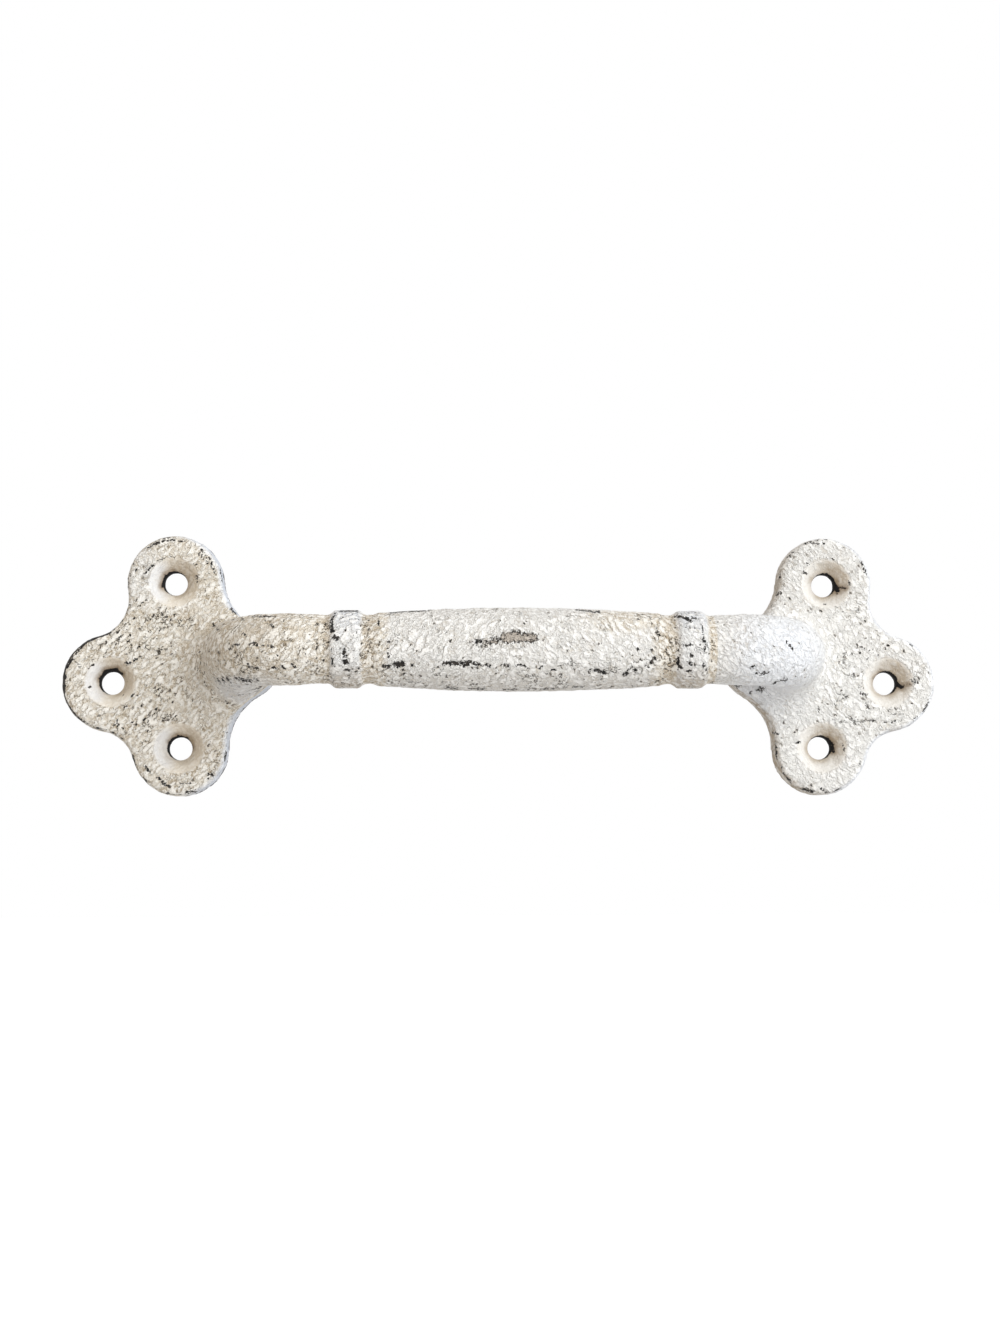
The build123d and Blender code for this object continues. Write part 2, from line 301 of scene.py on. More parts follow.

# Colours of the paint, of its stains, of the light and shade painted on it and of what shows through it
CREAM = (0.885, 0.825, 0.72)
AGED_CREAM = (0.85, 0.775, 0.65)
PALER_CREAM_AND_LIGHT = (0.935, 0.885, 0.785)
WHITE_COAT_AND_LIGHT = (0.885, 0.87, 0.83)
PAINTED_LIGHT_WHITE = (0.93, 0.945, 0.968)
SHADE_GREY = (0.73, 0.765, 0.825)
PAINTED_CREAM_HIGHLIGHT = (0.98, 0.95, 0.88)
PAINTED_WHITE_HIGHLIGHT = (0.965, 0.95, 0.912)
PIT_BROWN = (0.46, 0.365, 0.245)
HOLLOW_SOIL_AND_SHADE_BROWN = (0.55, 0.46, 0.33)
SOIL_AND_SHADE_BROWN = (0.46, 0.36, 0.24)
SINK_BROWN = (0.40, 0.31, 0.20)
HALO_BROWN = (0.42, 0.33, 0.22)
SMUDGE_BROWN = (0.25, 0.175, 0.105)
TAUPE = (0.56, 0.50, 0.43)
IRON = (0.006, 0.0055, 0.005)
RUSTY_IRON = (0.05, 0.04, 0.032)
BORE_SOIL_AND_SHADE_BLACK = (0.006, 0.005, 0.005)

# Sizes of the paint's texture and relief in millimetres, the fraying of its worn edges, and its gloss
LEAN = 48.0
SIDES_APART = 60.0
CREASE_DEPTH = 0.12
CREASE_HEIGHT = 1.8
CREASE_LEVEL = -0.115
STIPPLE_HEIGHT = 0.45
SKIN_HEIGHT = 1.1
SWELL_HEIGHT = 0.45
RIPPLE_STRETCH = 2.0
CROSS_STRETCH = 0.9
CHIP_STEP = 0.6
RUBBED_STEP = 0.6
SPECK_CELLS = 1.15
SPECK_SIZE = 0.33
SPECK_STRETCH = 1.7
SMALLEST_SPECK = 0.4
SPECK_CORE = 0.72
SPECK_HALO = 1.8
FINE_SPECK_CELLS = 1.9
FINE_SPECK_SIZE = 0.29
HALO_STRENGTH = 0.35
LESS_STAIN_ON_WHITE_AND_LIGHT = -0.7
FRAYED = {"chip": 1.7, "rubbed": 2.6, "smudge": 0.8, "black_ring": 0.5, "rim": 0.9}
RIM_WEAR = 0.75
PIT_GLOSS = 0.62
RIDGE_GLOSS = 0.46
BORE_GLOSS = 0.9
PAINT_SHINE = 0.3

# Ranges of the paint's clouds, relief and marks over which a layer fades in: start and finish, with the
# shares there where they are not nought and one
FADES = {
    "bowl": (1.10, 0.92), "skin in bowl": (0.0, 1.0, 1.0, 0.3),
    "aged cream": (0.35, 0.65), "white fray": (0.0, 0.3, 0.0, 0.9), "white": (0.0, 0.9),
    "cool on grain": (0.3, 0.6, 0.7, 1.0), "pits": (-0.03, -0.13), "pit stain": (0.3, 0.65, 0.36, 0.88),
    "ridges": (0.0, 0.07), "ridges on cool": (0.0, 0.8, 0.85, 0.1), "ridges on fresh": (0.5, 1.0, 1.0, 0.6),
    "white ridges": (0.0, 0.8), "hollows": (-0.15, -0.9), "hollow stain": (0.3, 0.7, 0.15, 0.5),
    "grime on skin": (0.10, -0.10, 0.35, 1.0), "sink": (0.7, 0.0), "sink stain": (0.35, 0.65, 0.3, 0.75),
    "speck patches": (0.38, 0.62, 0.08, 1.9), "speck tone": (0.1, 0.5, 0.55, 1.0),
    "fine speck tone": (0.2, 0.8, 0.4, 1.0), "scratch": (0.026, 0.010), "scratch breaks": (0.52, 0.57),
    "scratch density": (0.12, 0.45, 0.0, 0.95), "chip": (-0.03, 0.04), "rim": (0.97, 1.05),
    "taupe": (-0.04, 0.02), "crack": (0.52, 0.36), "crack breaks": (0.38, 0.5, 0.5, 1.0),
    "bore ring": (-0.08, 0.04), "black smudge": (-0.08, 0.15), "brown smudge": (-0.9, 0.05, 0.0, 0.7),
    "rust": (0.42, 0.64), "gloss": (-0.1, 0.15, PIT_GLOSS, RIDGE_GLOSS),
}

# Camera, floor and lamps
CAMERA_PLACE = (-14.0, -348.6, -26.9)
CAMERA_TARGET = (-0.33, 0.0, 3.63)
CAMERA_ROLL = -0.14
CAMERA_NEAR = 10.0
FOCAL_PIXELS = 1701.9
IMAGE_HEIGHT = 1333
SENSOR = 36.0
FLOOR_DROP = 200.0
FLOOR_HALF = 3000.0
FLOOR_GREY = (0.72, 0.72, 0.72, 1)
FLOOR_ROUGHNESS = 0.9
FLOOR_LIFT = 0.6
WHITE_LIGHT = (1, 1, 1)
KEY_PLACE = (540.0, -730.0, 330.0)
KEY_SIZE = 1000.0
KEY_WATTS = 7.4
KEY_COLOUR = (0.96, 0.98, 1.0)
DIM_SIDE = (0.54, 0.47, 0.40)
BRIGHT_SIDE = (0.84, 0.87, 0.91)


def in_scene(name, data):
    """New object in the scene."""
    made = bpy.data.objects.new(name, data)
    bpy.context.scene.collection.objects.link(made)
    return made


def screw_axes():
    """X and Z of each screw hole, and the bore's radius, from the record's mounts."""
    axes = []
    for mount in frame["record"]["mounts"]:
        if mount["kind"] != "bolt_pattern":
            continue
        half = mount["dims"]["spacing_x_mm"] / 2
        height = mount["pos_m"][2] / MM
        axes += [(-half, height), (half, height)]
        radius = mount["dims"]["hole_r_mm"]
    return axes, radius


def settle(piece):
    """Makes a piece's modifiers part of its mesh."""
    bpy.context.view_layer.update()
    mesh = bpy.data.meshes.new_from_object(piece.evaluated_get(bpy.context.evaluated_depsgraph_get()))
    piece.modifiers.clear()
    piece.data = mesh


def vertex_vectors(mesh, field):
    """One row per vertex: its place or its normal."""
    rows = np.empty(len(mesh.vertices) * 3, np.float32)
    mesh.vertices.foreach_get(field, rows)
    return rows.reshape(-1, 3)


def mark(mesh, name, values):
    """Stores one number per vertex, for the material to read."""
    numbers = mesh.attributes.new(name, "FLOAT", "POINT")
    numbers.data.foreach_set("value", np.ascontiguousarray(values, np.float32))


def fade(values, nought_at, one_at):
    """Straight rise from nought to one between two values, level beyond them."""
    return np.clip((values - nought_at) / (one_at - nought_at), 0, 1)


def band(values, start, finish, soft):
    """One inside a range and nought outside it, with soft ends."""
    half = soft / 2
    return fade(values, start - half, start + half) * fade(values, finish + half, finish - half)


def spot(at, area):
    """One in the middle of an area seen from the front, falling softly to nought at its reach."""
    (x, z), (reach_x, reach_z) = area
    return fade(np.hypot((at.x - x) / reach_x, (at.z - z) / reach_z), 1, 1 / 3)


def by_side(at, left, right):
    """One value on the left half of the casting and another on the right."""
    return np.where(at.x < 0, left, right)


def stroke_depth(at, stroke):
    """Millimetres inside a stroke with round ends; negative outside it."""
    x0, z0, x1, z1, radius = stroke
    run_x, run_z = x1 - x0, z1 - z0
    share = ((at.x - x0) * run_x + (at.z - z0) * run_z) / (run_x**2 + run_z**2)
    share = np.clip(share, 0, 1)
    return radius - np.hypot(at.x - x0 - share * run_x, at.z - z0 - share * run_z)


def strokes_depth(at, strokes):
    """Millimetres inside the nearest of some strokes, within the reach that the material reads."""
    depth = np.max([stroke_depth(at, stroke) for stroke in strokes], axis=0)
    return np.clip(depth, -CHIP_REACH, CHIP_REACH)


def softened_places(piece):
    """Vertex places of the piece in millimetres after many smoothing steps."""
    soften = piece.modifiers.new("soften", "SMOOTH")
    soften.factor = SMOOTHING
    soften.iterations = HOLLOW_STEPS
    bpy.context.view_layer.update()
    soft = piece.evaluated_get(bpy.context.evaluated_depsgraph_get()).to_mesh()
    places = vertex_vectors(soft, "co") / MM
    piece.modifiers.clear()
    return places


def survey(piece):
    """Place, facing and region of every vertex of the smooth casting, as one array for each."""
    at = SimpleNamespace()
    place = vertex_vectors(piece.data, "co") / MM
    facing = vertex_vectors(piece.data, "normal")
    at.x, at.y, at.z = place.T
    at.facing_x, at.facing_y, at.facing_z = facing.T
    at.relief = ((place - softened_places(piece)) * facing).sum(1) / HOLLOW_DEPTH

    # Plates: the bowls of the screw holes, and the walls and rounded edges round the outside
    at.axes, at.bore = screw_axes()
    at.from_screw = np.min([np.hypot(at.x - x, at.z - z) for x, z in at.axes], axis=0)
    at.on_plate = at.y > PLATE_FRONT - PLATE_SLACK
    at.in_sink = np.where(at.on_plate, fade(at.from_screw, SINK_RADIUS + SINK_LIP, SINK_RADIUS), 0)
    at.at_edge = at.on_plate & (at.from_screw > SINK_RADIUS + SINK_LIP)
    at.wall = np.where(at.on_plate, fade(np.abs(at.facing_y), *WALL_FACING), 0)
    at.turned = np.where(at.at_edge, fade(np.abs(at.facing_y), *EDGE_FACING), 0)
    at.lit_wall = at.wall * fade(at.facing_x, *LIT_WALL_FACING)
    at.lit_edge = at.turned * fade(at.facing_x, *LIT_EDGE_FACING)
    # Facing away from the lamp; the painted shade on edges and in bowls follows it.
    at.unlit = np.clip(-LIGHT_X * at.facing_x - LIGHT_Z * at.facing_z, 0, 1)

    # Grip and arms
    at.along = np.abs(at.x - ARCH_X)
    from_axis = np.hypot(at.y - GRIP_Y, at.z - GRIP_Z)
    at.on_grip = (from_axis < GRIP_REACH) & (at.along < GRIP_END)
    at.on_arm = (at.y < ARM_BACK) & ~at.on_grip
    at.collar = np.where(at.on_grip, band(at.along, *COLLAR_BAND), 0)
    at.under_grip = np.where(at.on_grip, fade(at.z, *UNDER_GRIP), 0)
    at.right_elbow = spot(at, RIGHT_ELBOW) * fade(at.x, *RIGHT_ELBOW_START) * (at.y < RIGHT_ELBOW_BACK)
    return at


def mark_wear_and_bore_shade(mesh, at):
    """Marks chips, the rubbed patch, smudges and the dark rings round the bores, which are dark iron with
    painted shade of the bores' walls; returns the depth of the chips.
    """
    turned_away = CHIP_REACH * (1 - fade(at.facing_y, *FRONT_FACING))
    chip = strokes_depth(at, [stroke for strokes in CHIPS.values() for stroke in strokes]) - turned_away
    mark(mesh, "chip", np.maximum(chip, -CHIP_REACH))
    mark(mesh, "rubbed", np.maximum(strokes_depth(at, RUBBED_PATCH) - turned_away, -CHIP_REACH))
    mark(mesh, "smudge", np.where(at.on_plate, strokes_depth(at, SMUDGES), -CHIP_REACH))
    outwards, up = BORE_EDGE_SHIFT
    from_edge = np.min([
        np.hypot(at.x - x - math.copysign(outwards, x), at.z - z - up) for x, z in at.axes
    ], axis=0)
    mark(mesh, "black_ring", np.where(at.on_plate, np.clip(at.bore + BORE_EDGE - from_edge, -1, 1), -1))
    return chip


def mark_rims(mesh, at):
    """Marks the edges of plates and collars where handling has worn the coat."""
    outer = np.where(at.at_edge, band(-at.facing_y, *OUTER_RIM_BAND), 0)
    inner = np.where(at.at_edge, band(-at.facing_y, *INNER_RIM_BAND), 0)
    back = np.where(at.at_edge, band(at.y, *BACK_EDGE_BAND), 0)
    lit = np.max([inner, outer * WEAR["lit rim"], back * WEAR["back edge"]], axis=0)
    rims = np.where(at.facing_x > LIT_SIDE, lit, outer)
    rims = rims * (WEAR["rim"] + WEAR["left rim"] * spot(at, LEFT_WORN_RIM))
    raised = at.on_grip & (at.relief > RAISED) & (at.along > NECK_START)
    mark(mesh, "rim", np.maximum(rims, np.where(raised, WEAR["collar"], 0)))


def mark_paint(mesh, at):
    """Marks where the paint is whiter, in places as painted light, where bluish-white light is painted,
    where it is paler cream, partly painted light, and where grey shade is painted.
    """
    barrel = np.where(at.on_grip, band(at.along, *BARREL_BAND), 0)
    barrel = barrel * (1 - WHITE["barrel stain"] * spot(at, BARREL_STAIN))
    # Whiter on the right arm, elbow and plate: whiter paint together with painted light from the right.
    # Paler on the upper left lobe: painted light.
    whiter_right_with_painted_light = np.where((at.x > 0) & (at.along > ARM_START), WHITE["right end"], 0)
    upper_left_painted_light = np.where(at.on_plate, WHITE["left lobe"] * spot(at, LEFT_PALE_LOBE), 0)
    mark(mesh, "white", np.max([at.collar, barrel * WHITE["barrel"], whiter_right_with_painted_light, upper_left_painted_light], axis=0))

    # Bluish-white painted light on walls, rounded edges and bowl sides that face the lamp, on the right
    # elbow and the collars, and under the left elbow.
    lit_sink = at.in_sink * fade(at.facing_x, *LIT_SINK_FACING)
    lit_sink = lit_sink * by_side(at, PAINTED_BLUISH_LIGHT["left sink"], PAINTED_BLUISH_LIGHT["right sink"])
    underside = np.where(at.on_arm & (at.x < 0), fade(at.facing_z, *UNDERSIDE_FACING), 0)
    underside = underside * spot(at, LEFT_ELBOW_UNDERSIDE)
    cool = [
        at.lit_wall, at.lit_edge * PAINTED_BLUISH_LIGHT["lit edge"], lit_sink, at.right_elbow,
        at.collar * PAINTED_BLUISH_LIGHT["collar"], underside * PAINTED_BLUISH_LIGHT["left underside"],
    ]
    mark(mesh, "cool", np.max(cool, axis=0))
    # Paler cream over the right plate and less of it on the left: partly the paint's own tone, partly
    # painted light from the right.
    fresh = by_side(at, LEFT_PALER_CREAM_AND_LIGHT * (1 - at.in_sink), 1 - at.turned)
    mark(mesh, "fresh", np.where(at.on_plate, fresh, 0))

    collar_top = at.collar * fade(at.facing_z, *COLLAR_TOP_FACING) * SHADE["collar top"]
    left_sink = by_side(at, lit_sink * SHADE["left sink"], 0)
    mark(mesh, "edge_shade", np.max([at.lit_wall, collar_top, left_sink], axis=0))


def mark_soil_and_shade(mesh, at):
    """Marks how deep in its bowl each place by a screw hole lies, and where it is darkened: soil and
    painted shade in the necks, at the collars' feet, under the grip and in the bowls, and painted shade on
    the left elbow and on edges and bowl sides turned away from the lamp.
    """
    in_bowl = np.clip((at.from_screw - at.bore) / (SINK_RADIUS - at.bore), 0, BOWL_LIMIT)
    mark(mesh, "bore", np.where(at.on_plate, in_bowl, BOWL_LIMIT))
    # Soil and painted shade in the necks, at the collars' feet and under the grip.
    neck = np.where(at.on_grip, band(at.along, *NECK_BAND), 0)
    foot = np.where(at.on_grip, band(at.along, *COLLAR_FOOT_BAND), 0)
    under = at.under_grip * (SOIL_AND_SHADE["under grip"] + SOIL_AND_SHADE["under collar"] * at.collar)
    # Painted shade on the left elbow and on edges and bowl sides turned away from the lamp; soil and
    # painted shade in the bowls.
    elbow = np.where(at.on_arm, fade(at.x, *LEFT_ELBOW_START) * SOIL_AND_SHADE["left elbow"], 0)
    edge = np.maximum(at.wall, at.turned * SOIL_AND_SHADE["rounded edge"]) * at.unlit
    edge = edge * by_side(at, SOIL_AND_SHADE["left edge"], SOIL_AND_SHADE["right edge"])
    sink = at.in_sink * (by_side(at, SOIL_AND_SHADE["left sink"], SOIL_AND_SHADE["right sink"]) + at.unlit)
    grime = [neck * SOIL_AND_SHADE["neck"], foot * SOIL_AND_SHADE["collar foot"], under, elbow, edge, sink]
    mark(mesh, "grime", np.max(grime, axis=0))


def mark_specks(mesh, at):
    """Marks how densely dark specks lie."""
    lower_row = np.exp(-((at.z - LOWER_ROW_Z) / LOWER_ROW_WIDTH) ** 2)
    upper_row = np.exp(-((at.z - UPPER_ROW_Z) / UPPER_ROW_WIDTH) ** 2) * (at.x < UPPER_ROW_END)
    rows = lower_row + SPECKS["upper row"] * upper_row
    ends = SPECKS["barrel end"] * fade(at.along, *BARREL_ENDS) + SPECKS["under grip"] * at.under_grip
    grip = SPECKS["barrel"] + SPECKS["row"] * rows + ends
    arms = by_side(at, SPECKS["left arm"], SPECKS["right arm"])
    left = SPECKS["left plate"] + SPECKS["left above"] * spot(at, LEFT_SPECKS_ABOVE)
    left = left + SPECKS["left below"] * spot(at, LEFT_SPECKS_BELOW)
    right = SPECKS["right plate"] + SPECKS["right above"] * spot(at, RIGHT_SPECKS_ABOVE)
    right = right + SPECKS["right below"] * spot(at, RIGHT_SPECKS_BELOW)
    plates = by_side(at, left, right) * (1 - SPECKS["gone from lit edge"] * at.lit_edge)
    off_bowl = fade(at.from_screw, SINK_RADIUS, SINK_RADIUS + SINK_LIP)
    plates = plates * np.maximum(off_bowl, SPECKS["sink"])
    regions = ((at.on_grip, grip), (at.on_arm, arms), (at.on_plate, plates))
    mark(mesh, "specks", np.max([np.where(region, density, 0) for region, density in regions], axis=0))


def weigh_relief(piece, at, chip):
    """Vertex groups that say how deep the paint has gone and how rough the skin is."""
    missing = piece.vertex_groups.new(name="chip")
    for index in np.flatnonzero(chip > 0):
        missing.add([int(index)], min(float(chip[index]) / CHIP_SLOPE, 1.0), "REPLACE")
    skin = np.maximum(fade(at.from_screw, at.bore, at.bore + SMOOTH_BORE_RING), SKIN_SHARES["bore"])
    skin = np.where(at.y > PLATE_BACK_LAYER, SKIN_SHARES["plate back"], skin)
    smooth_collar = (1 - SKIN_SHARES["collar"]) * at.collar
    smooth_elbow = (1 - SKIN_SHARES["right elbow"]) * at.right_elbow
    skin = skin * (1 - smooth_collar - smooth_elbow)
    in_bowl = at.on_plate & (at.from_screw < SINK_RADIUS + SMOOTH_SINK_RING)
    skin = skin * np.where(in_bowl, SKIN_SHARES["sink"], 1)
    rough = piece.vertex_groups.new(name="cast_skin")
    for index, weight in enumerate(skin):
        rough.add([index], float(weight), "REPLACE")


def roughen(piece, name, size, height):
    """Raises and sinks the skin by a cloudy texture of one size."""
    texture = bpy.data.textures.new(name, "CLOUDS")
    texture.noise_scale = size * MM
    texture.noise_depth = CLOUD_DEPTH
    relief = piece.modifiers.new(name, "DISPLACE")
    relief.texture = texture
    relief.texture_coords = "LOCAL"
    relief.mid_level = 0.5
    relief.strength = height * MM
    relief.vertex_group = "cast_skin"


def make_casting():
    """The casting: an even mesh of the solid, roughened like sand-cast iron under thick paint."""
    mesh = frame["nodes"]["drawer_pull"].data.copy()
    mesh.materials.clear()
    merged = bmesh.new()
    merged.from_mesh(mesh)
    bmesh.ops.remove_doubles(merged, verts=merged.verts, dist=MERGE_DISTANCE * MM)
    merged.to_mesh(mesh)
    merged.free()
    piece = in_scene("casting", mesh)
    even = piece.modifiers.new("even", "REMESH")
    even.mode = "VOXEL"
    even.voxel_size = VOXEL * MM
    smooth = piece.modifiers.new("smooth", "SMOOTH")
    smooth.factor = SMOOTHING
    smooth.iterations = SETTLE_STEPS
    settle(piece)

    at = survey(piece)
    mark(piece.data, "relief", np.clip(at.relief, -1, 1))
    chip = mark_wear_and_bore_shade(piece.data, at)
    mark_rims(piece.data, at)
    mark_paint(piece.data, at)
    mark_soil_and_shade(piece.data, at)
    mark_specks(piece.data, at)
    weigh_relief(piece, at, chip)

    roughen(piece, "lumps", LUMP_SIZE, LUMP_HEIGHT)
    roughen(piece, "grain", GRAIN_SIZE, GRAIN_HEIGHT)
    missing = piece.modifiers.new("missing_paint", "DISPLACE")
    missing.strength = -PAINT_THICKNESS * MM
    missing.mid_level = 0
    missing.vertex_group = "chip"
    settle(piece)
    piece.vertex_groups.clear()
    piece.data.shade_smooth()
    return piece


def add_node(tree, kind, values=None, **settings):
    """New shader node; values gives inputs by name or number, as a socket to link or a plain value."""
    made = tree.nodes.new("ShaderNode" + kind)
    for name, setting in settings.items():
        setattr(made, name, setting)
    for name, value in (values or {}).items():
        if isinstance(value, bpy.types.NodeSocket):
            tree.links.new(value, made.inputs[name])
        else:
            made.inputs[name].default_value = value
    return made


def calculate(tree, operation, first, second=0.0, third=0.0):
    """Result of one sum on values or sockets."""
    return add_node(tree, "Math", {0: first, 1: second, 2: third}, operation=operation).outputs[0]


def product(tree, first, second):
    """Two values or sockets multiplied."""
    return calculate(tree, "MULTIPLY", first, second)


def plus_share(tree, value, share, added):
    """A value times its share, added to another."""
    return calculate(tree, "MULTIPLY_ADD", value, share, added)


def greatest(tree, first, *others):
    """Largest of some values or sockets."""
    largest = first
    for other in others:
        largest = calculate(tree, "MAXIMUM", largest, other)
    return largest


def from_middle(tree, value):
    """Cloudy value with its middle moved to nought."""
    return calculate(tree, "SUBTRACT", value, 0.5)


def ramp(tree, value, start, finish, low=0.0, high=1.0):
    """Value mapped softly from one range to another and kept in it."""
    inputs = {"Value": value, "From Min": start, "From Max": finish, "To Min": low, "To Max": high}
    return add_node(tree, "MapRange", inputs, interpolation_type="SMOOTHSTEP").outputs[0]


def faded(tree, value, name):
    """Share of a layer at a value, over the range of that name."""
    return ramp(tree, value, *FADES[name])


def layer(tree, factor, under, over):
    """One colour laid over another by a factor."""
    node = add_node(tree, "Mix", {"Factor": factor}, data_type="RGBA")
    for number, colour in ((6, under), (7, over)):
        if isinstance(colour, bpy.types.NodeSocket):
            tree.links.new(colour, node.inputs[number])
        else:
            node.inputs[number].default_value = (*colour, 1)
    return node.outputs[2]


def cloud(tree, vector, scale, detail=2.0, roughness=0.55):
    """Soft cloudy value between nought and one."""
    inputs = {"Vector": vector, "Scale": scale, "Detail": detail, "Roughness": roughness}
    return add_node(tree, "TexNoise", inputs).outputs["Fac"]


def reading(tree, name):
    """Number marked on the vertices of the piece."""
    return add_node(tree, "Attribute", attribute_name=name, attribute_type="GEOMETRY").outputs["Fac"]


def wandering(tree, vector, scale, reach):
    """Coordinates pushed about by a cloud, so that shapes drawn in them have ragged outlines."""
    clouds = add_node(tree, "TexNoise", {"Vector": vector, "Scale": scale, "Detail": 2.0})
    centring = {0: clouds.outputs["Color"], 1: (0.5, 0.5, 0.5)}
    shift = add_node(tree, "VectorMath", centring, operation="SUBTRACT").outputs[0]
    pushing = {0: shift, 1: (reach, reach, reach), 2: vector}
    return add_node(tree, "VectorMath", pushing, operation="MULTIPLY_ADD").outputs[0]


def slant(tree, vector, stretch):
    """Coordinates turned in the front plane and drawn out, so that marks in them lean and lengthen."""
    turn = (0, math.radians(LEAN), 0)
    inputs = {"Vector": vector, "Rotation": turn, "Scale": (stretch, 1, CROSS_STRETCH)}
    return add_node(tree, "Mapping", inputs, vector_type="TEXTURE").outputs[0]


def specks_group():
    """Node group: scattered dots of mixed sizes; density is the share of cells that hold one."""
    group = bpy.data.node_groups.new("specks", "ShaderNodeTree")
    face = group.interface
    face.new_socket("Vector", in_out="INPUT", socket_type="NodeSocketVector")
    for name in ("Scale", "Size", "Density"):
        face.new_socket(name, in_out="INPUT", socket_type="NodeSocketFloat")
    for name in ("Mask", "Halo", "Tone"):
        face.new_socket(name, in_out="OUTPUT", socket_type="NodeSocketFloat")
    entry = group.nodes.new("NodeGroupInput").outputs
    leave = group.nodes.new("NodeGroupOutput").inputs
    inputs = {"Vector": entry["Vector"], "Scale": entry["Scale"]}
    cells = add_node(group, "TexVoronoi", inputs, feature="F1")
    chance = add_node(group, "SeparateColor", {0: cells.outputs["Color"]}).outputs
    present = calculate(group, "LESS_THAN", chance[0], entry["Density"])
    share = plus_share(group, chance[1], 1 - SMALLEST_SPECK, SMALLEST_SPECK)
    size = product(group, entry["Size"], share)
    core = product(group, size, SPECK_CORE)
    outer = product(group, size, SPECK_HALO)
    dot = ramp(group, cells.outputs["Distance"], size, core)
    halo = ramp(group, cells.outputs["Distance"], outer, core)
    group.links.new(product(group, dot, present), leave["Mask"])
    group.links.new(product(group, halo, present), leave["Halo"])
    group.links.new(chance[2], leave["Tone"])
    return group


def specks(tree, group, vector, scale, size, density):
    """Outputs of one scatter of dots: their mask, their halo and the darkness of each."""
    inputs = {"Vector": vector, "Scale": scale, "Size": size, "Density": density}
    return add_node(tree, "Group", inputs, node_tree=group).outputs


def coat_texture(tree):
    """Coordinates in millimetres, clouds and relief that the paint's colour and wear share."""
    coat = SimpleNamespace()
    place = add_node(tree, "TexCoord").outputs["Object"]
    to_millimetres = (1 / MM, 1 / MM, 1 / MM)
    coat.grid = add_node(tree, "Mapping", {"Vector": place, "Scale": to_millimetres}).outputs[0]

    # Mirrored, so that marks lean outwards on both halves, and moved apart, so that the halves differ
    parts = add_node(tree, "SeparateXYZ", {0: wandering(tree, coat.grid, scale=2.4, reach=0.95)}).outputs
    outward = calculate(tree, "ABSOLUTE", parts[0])
    apart = plus_share(tree, calculate(tree, "SIGN", parts[0]), SIDES_APART, parts[1])
    coat.mirrored = add_node(tree, "CombineXYZ", {0: outward, 1: apart, 2: parts[2]}).outputs[0]

    # Lumps parted by thin brushed creases, with sand grain; faint inside the countersinks
    bent = wandering(tree, coat.grid, scale=0.6, reach=1.4)
    coat.grain = cloud(tree, bent, scale=1.3, detail=3.0)
    coat.swell = cloud(tree, coat.grid, scale=0.35)
    coat.blots = cloud(tree, coat.grid, scale=0.32)
    coat.bore = reading(tree, "bore")
    ripples = cloud(tree, slant(tree, coat.mirrored, RIPPLE_STRETCH), scale=0.85, roughness=0.5)
    coat.crease = calculate(tree, "ABSOLUTE", from_middle(tree, ripples))
    shallow = calculate(tree, "MINIMUM", coat.crease, CREASE_DEPTH)
    skin = plus_share(tree, shallow, CREASE_HEIGHT, CREASE_LEVEL)
    skin = plus_share(tree, from_middle(tree, coat.grain), STIPPLE_HEIGHT, skin)
    bowl = faded(tree, coat.bore, "bowl")
    coat.skin = product(tree, skin, faded(tree, bowl, "skin in bowl"))
    return coat


def coat_colour(tree, coat):
    """Cream paint with whiter areas, some of them painted light, bluish-white painted light, paler cream
    that is partly painted light, painted grey shade, painted highlights on the raised spots, brown pits,
    and soil with painted shade.
    """
    white = reading(tree, "white")
    cool = reading(tree, "cool")
    fresh = reading(tree, "fresh")
    patches = cloud(tree, coat.grid, scale=0.10, detail=3.0, roughness=0.6)
    colour = layer(tree, faded(tree, patches, "aged cream"), CREAM, AGED_CREAM)
    colour = layer(tree, fresh, colour, PALER_CREAM_AND_LIGHT)
    fray = faded(tree, white, "white fray")
    ragged = plus_share(tree, from_middle(tree, coat.grain), fray, white)
    colour = layer(tree, faded(tree, ragged, "white"), colour, WHITE_COAT_AND_LIGHT)
    # Bluish-white painted light, broken by the grain.
    chill = product(tree, cool, faded(tree, coat.grain, "cool on grain"))
    colour = layer(tree, chill, colour, PAINTED_LIGHT_WHITE)
    colour = layer(tree, reading(tree, "edge_shade"), colour, SHADE_GREY)

    pits = faded(tree, coat.skin, "pits")
    stain = faded(tree, coat.blots, "pit stain")
    stain = plus_share(tree, greatest(tree, white, cool), LESS_STAIN_ON_WHITE_AND_LIGHT, stain)
    colour = layer(tree, product(tree, pits, stain), colour, PIT_BROWN)
    # Painted highlights: paler colour on the raised spots of the skin.
    ridges = faded(tree, coat.skin, "ridges")
    ridges = product(tree, ridges, faded(tree, cool, "ridges on cool"))
    ridges = product(tree, ridges, faded(tree, fresh, "ridges on fresh"))
    bright = layer(tree, faded(tree, white, "white ridges"), PAINTED_CREAM_HIGHLIGHT, PAINTED_WHITE_HIGHLIGHT)
    colour = layer(tree, ridges, colour, bright)

    # Soil and painted shade in the hollows: necks, collar feet and the roots of the arms.
    hollow = faded(tree, reading(tree, "relief"), "hollows")
    hollow = product(tree, hollow, faded(tree, coat.blots, "hollow stain"))
    colour = layer(tree, hollow, colour, HOLLOW_SOIL_AND_SHADE_BROWN)
    # Soil and painted shade, from the marks on the vertices.
    soil_and_shade_share = product(tree, reading(tree, "grime"), faded(tree, coat.skin, "grime on skin"))
    colour = layer(tree, soil_and_shade_share, colour, SOIL_AND_SHADE_BROWN)
    sink = product(tree, faded(tree, coat.bore, "sink"), faded(tree, coat.blots, "sink stain"))
    return layer(tree, sink, colour, SINK_BROWN)


